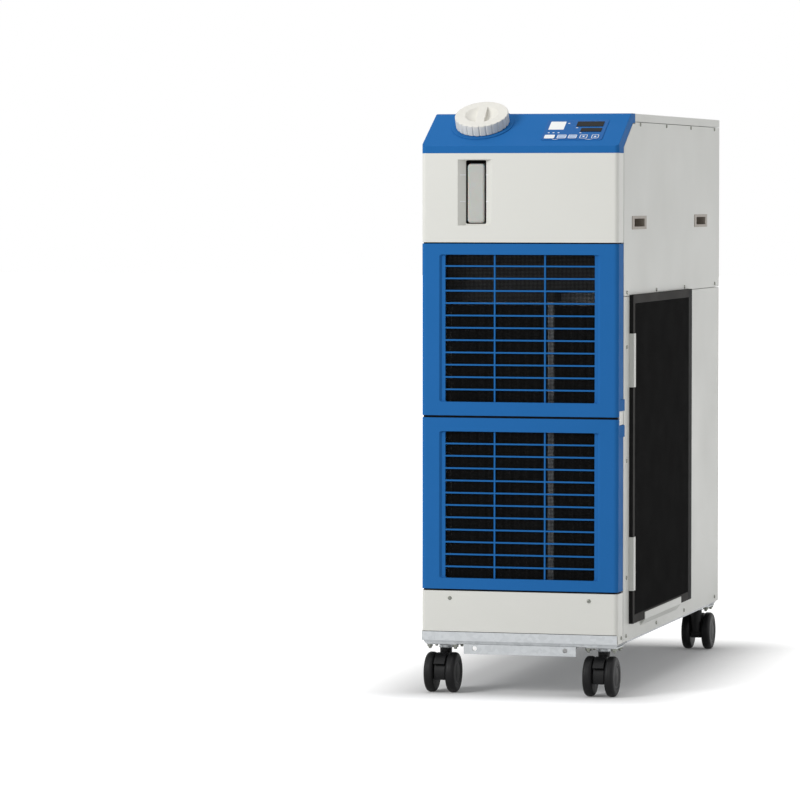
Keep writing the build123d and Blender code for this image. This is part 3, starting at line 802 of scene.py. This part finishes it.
def set_fasteners(name, fastener, spots, seed):
    """Sets one fastener at each (place, direction), places in millimetres."""
    carrier = bpy.data.meshes.new("spots")
    carrier.from_pydata([tuple(v * MM for v in place) for place, _ in spots], [], [])
    attribute = carrier.attributes.new("facing", "FLOAT_VECTOR", "POINT")
    for i, (_, direction) in enumerate(spots):
        attribute.data[i].vector = direction
    mesh = run_tree(fastener_tree, {"Fastener": fastener, "Turn limit": math.tau, "Seed": seed}, carrier)
    return keep_piece(name, mesh, zinc_fastener, smooth_below=35)


# %% [markdown]
# The spots are read off the photograph for the right side and mirrored for the left. The rear sheet repeats the
# same rows.

# %% All screws and bolts
HALF_WIDTH = 187.1
side_spots = [(y, 1060.0) for y in (-289.0, -49.0, 187.0, 425.0)]
side_spots += [(y, 747.5) for y in (-404.0, -140.0, 128.0, 432.0)]
side_spots += [(-404.0, 646.3), (-404.0, 435.0), (-404.0, 217.0), (193.0, 645.3), (193.0, 436.0)]
side_spots += [(y, 108.8) for y in (-449.0, -407.0, -134.6, 131.0, 440.5)]
spots = []
for side in (1, -1):
    spots += [((side * HALF_WIDTH, y, z), (side, 0, 0)) for y, z in side_spots]
spots += [((side * 132.6, -479.25, 178.7), (0, -1, 0)) for side in (1, -1)]
spots += [
    ((side * x, 479.25, z), (0, 1, 0))
    for side in (1, -1)
    for x, z in ((164, 1050), (164, 900), (164, 760), (164, 720), (164, 430), (164, 140), (55, 1050))
]
screws = set_fasteners("sheet_screws", screw_head, spots, seed=7)
caster_spots = []
for side in (1, -1):
    for end in (1, -1):
        for dx in (-24.5, 24.5):
            for dy in (-24.5, 24.5):
                caster_spots.append(((side * 151.6 + dx, end * 432.5 + dy, 89.9), (0, 0, -1)))
plate_bolts = set_fasteners("caster_plate_bolts", plate_bolt, caster_spots, seed=11)
print(len(spots), "screws and", len(caster_spots), "bolts")

# %% [markdown]
# ## Marks and lamps on the control panel
# The film carries its printing: key outlines, two arrow heads, small signal marks and one bare white label. Each is a
# very thin plate a tenth of a millimetre above the film or the key, laid out in the slope's own coordinates: across,
# and up the slope from its lower edge.


# %% Drawing on the slope
SLOPE_RUN = 108.5
SLOPE_RISE = 59.8
FRONT_Y = -479.25
FOLD_Z = 1018.5
slope_length = math.hypot(SLOPE_RUN, SLOPE_RISE)
up_slope = Vector((0, SLOPE_RUN / slope_length, SLOPE_RISE / slope_length))
off_slope = Vector((0, -SLOPE_RISE / slope_length, SLOPE_RUN / slope_length))


def on_slope(x, s, h):
    """The place of a point across x, up the slope s and off it h, all in millimetres."""
    return (Vector((x, FRONT_Y, FOLD_Z)) + up_slope * s + off_slope * h) * MM


def rounded_outline(x0, x1, s0, s1, corner, steps=5):
    """Points round a rectangle with rounded corners."""
    points = []
    for cx, cs, start in (
        (x1 - corner, s1 - corner, 0),
        (x0 + corner, s1 - corner, 90),
        (x0 + corner, s0 + corner, 180),
        (x1 - corner, s0 + corner, 270),
    ):
        for k in range(steps + 1):
            angle = math.radians(start + 90 * k / steps)
            points.append((cx + corner * math.cos(angle), cs + corner * math.sin(angle)))
    return points


def draw_plate(shape, outline, low, high):
    """A thin plate with this outline on the slope."""
    under = [shape.verts.new(on_slope(x, s, low)) for x, s in outline]
    over = [shape.verts.new(on_slope(x, s, high)) for x, s in outline]
    count = len(outline)
    for i in range(count):
        j = (i + 1) % count
        shape.faces.new((under[i], under[j], over[j], over[i]))
    shape.faces.new(over)
    shape.faces.new(list(reversed(under)))


def draw_outline(shape, outer, inner, low, high):
    """A thin closed line between two outlines with the same number of points."""
    rings = [
        [shape.verts.new(on_slope(x, s, h)) for x, s in points]
        for points, h in ((outer, low), (outer, high), (inner, high), (inner, low))
    ]
    count = len(outer)
    for a, b in zip(rings, rings[1:] + rings[:1]):
        for i in range(count):
            j = (i + 1) % count
            shape.faces.new((a[i], a[j], b[j], b[i]))


# %% Printed marks
FILM_TOP = 1.0
KEY_TOP = 1.8
PRINT = 0.12
key_spans = ((39.95, 60.35), (64.25, 82.25), (85.45, 102.35), (107.25, 122.45), (129.55, 143.95))
KEY_LOW = 25.9
KEY_HIGH = 40.9


def draw_white_marks(shape):
    """Everything printed in full white."""
    for x0, x1 in key_spans:
        outer = rounded_outline(x0 + 0.5, x1 - 0.5, KEY_LOW + 0.5, KEY_HIGH - 0.5, 2.4)
        inner = rounded_outline(x0 + 1.6, x1 - 1.6, KEY_LOW + 1.6, KEY_HIGH - 1.6, 1.5)
        draw_outline(shape, outer, inner, KEY_TOP, KEY_TOP + PRINT)
    x0, x1 = key_spans[0]
    filled = rounded_outline(x0 + 1.5, x1 - 1.5, KEY_LOW + 1.5, KEY_HIGH - 1.5, 1.5)
    draw_plate(shape, filled, KEY_TOP, KEY_TOP + PRINT)
    for (x0, x1), way in ((key_spans[3], -1), (key_spans[4], 1)):
        cx = (x0 + x1) / 2
        cs = (KEY_LOW + KEY_HIGH) / 2
        arrow = [(cx - 2.9, cs - 2.1 * way), (cx + 2.9, cs - 2.1 * way), (cx, cs + 2.7 * way)]
        draw_plate(shape, arrow if way > 0 else arrow[::-1], KEY_TOP, KEY_TOP + PRINT)
    for x, s in ((45.4, 49.8), (54.5, 49.8), (64.0, 49.8), (77.0, 86.3), (95.2, 69.2), (105.5, 49.4)):
        mark = rounded_outline(x - 1.9, x + 1.9, s - 1.1, s + 1.1, 1.0)
        draw_plate(shape, mark, FILM_TOP, FILM_TOP + PRINT)
    for x0, x1 in ((55.9, 68.9), (117.9, 133.9)):
        lower = [(x0 + (x1 - x0) * k / 8, 22.9 + 3.2 * (2 * k / 8 - 1) ** 2) for k in range(9)]
        upper = [(x, s + 1.0) for x, s in reversed(lower)]
        draw_plate(shape, lower + upper, FILM_TOP, FILM_TOP + PRINT)


def draw_pale_marks(shape):
    """The paler fill of the second and third key."""
    for x0, x1 in key_spans[1:3]:
        fill = rounded_outline(x0 + 1.7, x1 - 1.7, KEY_LOW + 2.6, KEY_HIGH - 2.6, 1.2)
        draw_plate(shape, fill, KEY_TOP, KEY_TOP + PRINT)


def draw_label(shape):
    """The bare label."""
    draw_plate(shape, rounded_outline(41.9, 70.9, 62.0, 93.0, 1.2), FILM_TOP, FILM_TOP + 0.2)


keep_piece("panel_marks", plan_mesh("panel_marks", draw_white_marks), white_ink)
keep_piece("key_fills", plan_mesh("key_fills", draw_pale_marks), pale_ink)
keep_piece("panel_label", plan_mesh("panel_label", draw_label), label_vinyl)
print("marks drawn for", len(key_spans), "keys")

# %% [markdown]
# ## The level window's marks
# Short white ribs on both bevels of the window show the highest and the lowest water level. Each follows its bevel,
# so it is a small slanted bar rather than a box.


# %% Level marks
def draw_level_marks(shape):
    """Four bars, half a millimetre proud of the bevels."""
    bevel_x = 12.8
    bevel_y = 12.0
    for z in (965.5, 916.2):
        for edge_x, way, near, far in ((-117.6, 1, 0.3, 0.98), (-53.2, -1, 0.62, 0.98)):
            corners_2d = []
            for share, lift in ((near, 0.0), (far, 0.0), (far, 0.7), (near, 0.7)):
                x = edge_x + way * (bevel_x * share + lift * 0.67)
                y = FRONT_Y + bevel_y * share - lift * 0.74
                corners_2d.append((x, y))
            low = [shape.verts.new((x * MM, y * MM, (z - 1.1) * MM)) for x, y in corners_2d]
            high = [shape.verts.new((x * MM, y * MM, (z + 1.1) * MM)) for x, y in corners_2d]
            for i in range(4):
                j = (i + 1) % 4
                shape.faces.new((low[i], low[j], high[j], high[i]))
            shape.faces.new(high)
            shape.faces.new(list(reversed(low)))


keep_piece("level_marks", plan_mesh("level_marks", draw_level_marks), white_ink)
print("level marks at 965.5 and 916.2 mm")

# %% [markdown]
# ## Turned parts
# Hub covers, ball races, nuts and threads are all turned: one outline spun round an axis. The function takes the
# outline as radius and height, and puts the axis where it is asked. Where the outline starts on the axis, the points
# there are merged, so that no pole stays open.


# %% Turning
def turn_outline(shape, outline, base, axis, steps=48):
    """Spins an outline of (radius, height) round an axis through base, in millimetres."""
    quarter = Vector(axis).to_track_quat("Z", "Y")
    rings = []
    for radius, height in outline:
        ring = []
        for i in range(steps):
            angle = i * math.tau / steps
            local = Vector((radius * math.cos(angle), radius * math.sin(angle), height))
            ring.append(shape.verts.new((Vector(base) + quarter @ local) * MM))
        rings.append(ring)
    for low, high in zip(rings, rings[1:]):
        for i in range(steps):
            j = (i + 1) % steps
            shape.faces.new((low[i], low[j], high[j], high[i]))
    bmesh.ops.remove_doubles(shape, verts=shape.verts, dist=0.00001)


# %% [markdown]
# Each caster wheel has a hub cover pressed into its outer face, with a raised rim, a groove and a cap over the axle
# nut. The cover fills the shallow recess in the solid and turns with the wheel.

# %% Hub covers
STEM_X = 151.6
AXLE_Y = 455.0
AXLE_Z = 37.5
WHEEL_OUT = 29.55
hub_outline = (
    (0.0, -0.6),
    (7.5, -0.7),
    (8.6, -0.9),
    (17.0, -1.0),
    (18.0, -1.3),
    (19.0, -1.3),
    (20.2, -0.6),
    (23.2, -0.3),
    (24.0, -0.7),
    (24.0, -1.5),
    (0.0, -1.5),
)
for corner in corners:
    side = 1 if corner.endswith("right") else -1
    end = 1 if corner.startswith("rear") else -1

    def draw_hubs(shape, side=side, end=end):
        for way in (1, -1):
            base = (side * STEM_X + way * WHEEL_OUT, end * AXLE_Y, AXLE_Z)
            turn_outline(shape, hub_outline, base, (way, 0, 0))

    keep_piece(
        "hub_covers_" + corner,
        plan_mesh("hub_covers_" + corner, draw_hubs),
        caster_black,
        body="wheels_" + corner,
        smooth_below=40,
    )
print("hub covers on", len(corners), "casters")

# %% [markdown]
# Between the mounting plate and the fork a caster has its swivel race: a bright pressed cup with a rolled lip at its
# foot, and a dark rubber ring above that keeps dirt out of the balls. Both stay with the plate.


# %% Swivel races
CUP_OUTLINE = ((11.9, 87.0), (12.5, 86.9), (12.7, 83.2), (13.2, 82.6), (13.2, 82.0), (11.9, 81.7), (11.9, 87.0))
RING_OUTLINE = ((11.9, 89.7), (12.8, 89.7), (12.9, 87.3), (11.9, 87.2), (11.9, 89.7))


def draw_at_stems(outline):
    """A function that draws a turned ring round the collar of each caster."""

    def draw(shape):
        for side in (1, -1):
            for end in (1, -1):
                turn_outline(shape, outline, (side * STEM_X, end * 432.5, 0), (0, 0, 1), steps=36)

    return draw


race_mesh = plan_mesh("swivel_races", draw_at_stems(CUP_OUTLINE))
keep_piece("swivel_races", race_mesh, zinc_sheet, smooth_below=35)
ring_mesh = plan_mesh("swivel_seals", draw_at_stems(RING_OUTLINE))
keep_piece("swivel_seals", ring_mesh, rubber_and_shade_black, smooth_below=35)
print("races and seals at four stems")

# %% [markdown]
# The ports at the rear are brass sockets with an inside pipe thread. The thread is drawn as close rings, which at
# this size looks like the real helix, and a chamfer leads into it. The cable gland has a ribbed cap nut.


# %% Port threads and the gland's nut
def draw_threads(shape):
    """Rings inside the three sockets, from their mouths inwards."""
    for x, z, bore in ((95, 640, 16.6), (95, 560, 16.6), (95, 160, 8.0)):
        outline = [(bore - 0.05, 487.9)]
        y = 487.4
        while y > 470:
            outline += [(bore - 0.9, y - 0.6), (bore - 0.05, y - 1.3)]
            y -= 1.8
        outline += [(bore - 0.02, y - 1.4)]
        turn_outline(shape, outline, (x, 0, z), (0, 1, 0), steps=40)


def draw_gland_ribs(shape):
    """Grip ribs round the gland's nut."""
    count = 18
    for i in range(count):
        angle = i * math.tau / count
        out = Vector((math.cos(angle), 0, math.sin(angle)))
        across = Vector((-math.sin(angle), 0, math.cos(angle)))
        centre = Vector((-105, 0, 640))
        low = []
        high = []
        for reach, half in ((14.9, 1.2), (16.0, 0.7)):
            for way in (-1, 1):
                point = centre + out * reach + across * half * way
                low.append(shape.verts.new((point + Vector((0, 479.4, 0))) * MM))
                high.append(shape.verts.new((point + Vector((0, 487.2, 0))) * MM))
        for a, b in ((0, 1), (1, 3), (3, 2), (2, 0)):
            shape.faces.new((low[a], low[b], high[b], high[a]))
        shape.faces.new((high[0], high[1], high[3], high[2]))
        shape.faces.new((low[2], low[3], low[1], low[0]))


keep_piece("port_threads", plan_mesh("port_threads", draw_threads), turned_brass, smooth_below=30)
keep_piece("gland_ribs", plan_mesh("gland_ribs", draw_gland_ribs), gland_black)
print("threads in three ports, ribs on the gland")

# %% [markdown]
# ## Painted shade in the slot and the gaps
# A black sleeve lines the slot of the level window, so the tube stands against dark: this black is painted shade in
# the slot. Black strips fill the gap between the two grille frames and the gaps beyond them, a little behind the face,
# as painted shade in those gaps. Each side filter has a thin black skin on its front edge and on its wide rear border,
# which paints shade on faces turned from the light.


# %% Painted shade: linings, strips and skins
def draw_box(shape, low, high):
    """A box between two corners in millimetres."""
    corners_3d = [
        shape.verts.new((x * MM, y * MM, z * MM)) for x in (low[0], high[0]) for y in (low[1], high[1]) for z in (low[2], high[2])
    ]
    for a, b, c, d in ((0, 1, 3, 2), (4, 6, 7, 5), (0, 4, 5, 1), (2, 3, 7, 6), (0, 2, 6, 4), (1, 5, 7, 3)):
        shape.faces.new((corners_3d[a], corners_3d[b], corners_3d[c], corners_3d[d]))


def draw_front_ring(shape, outer, inner, near, far):
    """A closed ring between two outlines of (x, z), from y near to y far."""
    rings = [
        [shape.verts.new((x * MM, y * MM, z * MM)) for x, z in points]
        for points, y in ((outer, near), (outer, far), (inner, far), (inner, near))
    ]
    count = len(outer)
    for a, b in zip(rings, rings[1:] + rings[:1]):
        for i in range(count):
            j = (i + 1) % count
            shape.faces.new((a[i], a[j], b[j], b[i]))


def draw_slot_painted_shade(shape):
    """Black walls along the slot and a frame round the tube's foot: painted shade in the slot."""
    wall = rounded_outline(-104.7, -66.1, 874.8, 992.7, 2.9)
    within = rounded_outline(-104.1, -66.7, 875.4, 992.1, 2.3)
    round_tube = rounded_outline(-101.7, -69.1, 876.0, 986.4, 5.8)
    draw_front_ring(shape, wall, within, -466.6, -450.4)
    draw_front_ring(shape, within, round_tube, -451.2, -450.4)


def draw_grille_gap_painted_shade(shape):
    """Black strips in the three gaps of the grille frames: painted shade in the gaps."""
    for low_z, high_z in ((192.2, 195.4), (514.8, 518.8), (838.2, 840.4)):
        draw_box(shape, (-184.0, -474.0, low_z), (184.0, -440.0, high_z))


def draw_filter_edge_painted_shade(shape):
    """Thin black skins on the front edge and the rear border of each side filter: painted shade on those faces."""
    for side in (1, -1):
        edge_x = sorted((side * 187.3, side * 194.3))
        draw_box(shape, (edge_x[0], -381.6, 130.0), (edge_x[1], -381.38, 741.5))
        skin_x = sorted((side * 194.58, side * 194.75))
        draw_box(shape, (skin_x[0], 136.0, 130.0), (skin_x[1], 166.0, 741.5))


# The black sleeve in the window slot is painted shade.
keep_piece("window_sleeve", plan_mesh("window_sleeve", draw_slot_painted_shade), rubber_and_shade_black)
# The black strips in the grille frames' gaps are painted shade.
keep_piece("frame_seals", plan_mesh("frame_seals", draw_grille_gap_painted_shade), rubber_and_shade_black)
# The black skins on each side filter's front edge and rear border are painted shade.
keep_piece("filter_seals", plan_mesh("filter_seals", draw_filter_edge_painted_shade), rubber_and_shade_black)
print("sleeve, frame seals and filter seals")

# %% [markdown]
# ## The upright behind the nets
# A folded strip of galvanised sheet stands a little right of the middle behind both grilles and shows through the
# nets as a paler band. It is a shallow channel, drawn as its cross-section and pulled up.


# %% Inner upright
def draw_upright(shape):
    """A channel section 12 mm wide with 1.2 mm walls."""
    section = (
        (43.0, -424.0),
        (43.0, -433.0),
        (55.0, -433.0),
        (55.0, -424.0),
        (53.8, -424.0),
        (53.8, -431.8),
        (44.2, -431.8),
        (44.2, -424.0),
    )
    low = [shape.verts.new((x * MM, y * MM, 119.5 * MM)) for x, y in section]
    high = [shape.verts.new((x * MM, y * MM, 730.0 * MM)) for x, y in section]
    count = len(section)
    for i in range(count):
        j = (i + 1) % count
        shape.faces.new((low[i], low[j], high[j], high[i]))
    shape.faces.new(high)
    shape.faces.new(list(reversed(low)))


keep_piece("inner_upright", plan_mesh("inner_upright", draw_upright), zinc_sheet)
print("inner upright from the base to the control box")

# %% [markdown]
# ## The studio
# The machine stands on white with a soft grey shadow. Pouring light on the floor until it turns white would wash the
# machine out. Instead the floor's material adds a little of its own light for the rays that come from the camera, from
# reflections and through clear plastic, just enough to reach white where no shadow falls. Under the machine and close
# round its footprint that added light is held low, which paints a soft shadow there on top of the cast one. Farther
# out that light grows, so the floor runs into the white world with no horizon. The world does the same, and stays
# weaker as a lamp.


# %% World and floor
def camera_side_rays(tree):
    """One for rays from the camera, from glossy reflections and through clear parts, and zero for the rest."""
    rays = add_node(tree, "ShaderNodeLightPath").outputs
    seen = add_node(
        tree, "ShaderNodeMath", {"operation": "MAXIMUM"}, {0: rays["Is Camera Ray"], 1: rays["Is Glossy Ray"]}
    ).outputs[0]
    return add_node(
        tree, "ShaderNodeMath", {"operation": "MAXIMUM"}, {0: seen, 1: rays["Is Transmission Ray"]}
    ).outputs[0]


WORLD_LIGHT = 0.38
world = bpy.data.worlds.new("white_studio")
bpy.context.scene.world = world
world.use_nodes = True
tree = world.node_tree
tree.nodes.clear()
strength = add_node(
    tree, "ShaderNodeMapRange", None, {"Value": camera_side_rays(tree), 3: WORLD_LIGHT, 4: 1.0}
).outputs["Result"]
background = add_node(
    tree, "ShaderNodeBackground", None, {"Color": linear("#FFFFFF"), "Strength": strength}
).outputs[0]
add_node(tree, "ShaderNodeOutputWorld", None, {"Surface": background})

# Under the machine the floor's own light is held this low: a painted shadow, added to the shadow the lamps cast.
UNDER_MACHINE_PAINTED_SHADOW = 0.05
NEAR_LIFT = 0.74
FOOTPRINT = (0.18, 0.47, 0.0)
floor_white = bpy.data.materials.new("white_studio_floor")
floor_white.use_nodes = True
tree = floor_white.node_tree
tree.nodes.clear()
matt = add_node(tree, "ShaderNodeBsdfDiffuse", None, {"Color": linear("#E6E6E6")}).outputs[0]
place = add_node(tree, "ShaderNodeTexCoord").outputs["Object"]
apart = add_node(tree, "ShaderNodeVectorMath", {"operation": "ABSOLUTE"}, {0: place}).outputs[0]
apart = add_node(tree, "ShaderNodeVectorMath", {"operation": "SUBTRACT"}, {0: apart, 1: FOOTPRINT}).outputs[0]
apart = add_node(tree, "ShaderNodeVectorMath", {"operation": "MAXIMUM"}, {0: apart, 1: (0, 0, 0)}).outputs[0]
apart = add_node(tree, "ShaderNodeVectorMath", {"operation": "LENGTH"}, {0: apart}).outputs["Value"]
# The floor's own light rises from the under-machine value to the near value over the first 26 cm outside the
# footprint, which paints a soft shadow round the machine.
painted_shadow_lift = add_node(
    tree,
    "ShaderNodeMapRange",
    {"interpolation_type": "SMOOTHSTEP"},
    {"Value": apart, 1: -0.04, 2: 0.26, 3: UNDER_MACHINE_PAINTED_SHADOW, 4: NEAR_LIFT},
).outputs["Result"]
far_lift = add_node(tree, "ShaderNodeMapRange", None, {"Value": apart, 1: 0.8, 2: 3.0, 3: 0.0, 4: 0.5}).outputs["Result"]
own_light = add_node(tree, "ShaderNodeMath", {"operation": "ADD"}, {0: painted_shadow_lift, 1: far_lift}).outputs[0]
lift = add_node(
    tree, "ShaderNodeMath", {"operation": "MULTIPLY"}, {0: camera_side_rays(tree), 1: own_light}
).outputs[0]
glow = add_node(tree, "ShaderNodeEmission", None, {"Color": linear("#FFFFFF"), "Strength": lift}).outputs[0]
both = add_node(tree, "ShaderNodeAddShader", None, {0: matt, 1: glow}).outputs[0]
add_node(tree, "ShaderNodeOutputMaterial", None, {"Surface": both})


def draw_floor(shape):
    """A large flat floor under the casters."""
    reach = 40.0
    corners_2d = ((-reach, -reach), (reach, -reach), (reach, reach), (-reach, reach))
    shape.faces.new([shape.verts.new((x, y, 0)) for x, y in corners_2d])


floor_mesh = plan_mesh("studio_floor", draw_floor)
floor_mesh.materials.append(floor_white)
floor = bpy.data.objects.new("studio_floor", floor_mesh)
bpy.context.scene.collection.objects.link(floor)


# %% [markdown]
# ## Lamps
# A large soft lamp from the front left carries the light, as the shadow on the right of the machine shows. A weaker
# one opens the right side, and a wide one overhead lights the slope and the top.


# %% Three soft lamps
def soft_lamp(name, place, target, width, power):
    """A square area lamp aimed at a point."""
    data = bpy.data.lights.new(name, "AREA")
    data.shape = "SQUARE"
    data.size = width
    data.energy = power
    lamp = bpy.data.objects.new(name, data)
    lamp.location = place
    lamp.rotation_mode = "QUATERNION"
    lamp.rotation_quaternion = (Vector(target) - Vector(place)).to_track_quat("-Z", "Y")
    bpy.context.scene.collection.objects.link(lamp)
    return lamp


soft_lamp("key_lamp", (-2.4, -3.5, 2.3), (0, 0, 0.5), 1.6, 98)
soft_lamp("fill_lamp", (3.8, 0.6, 1.2), (0, 0.2, 0.5), 2.0, 22)
soft_lamp("top_lamp", (0.0, -0.4, 3.6), (0, 0, 0.6), 2.4, 26)

# %% [markdown]
# ## Closing
# The picture keeps plain colours through the Standard view transform.

# %% Finish
bpy.context.scene.view_settings.view_transform = "Standard"
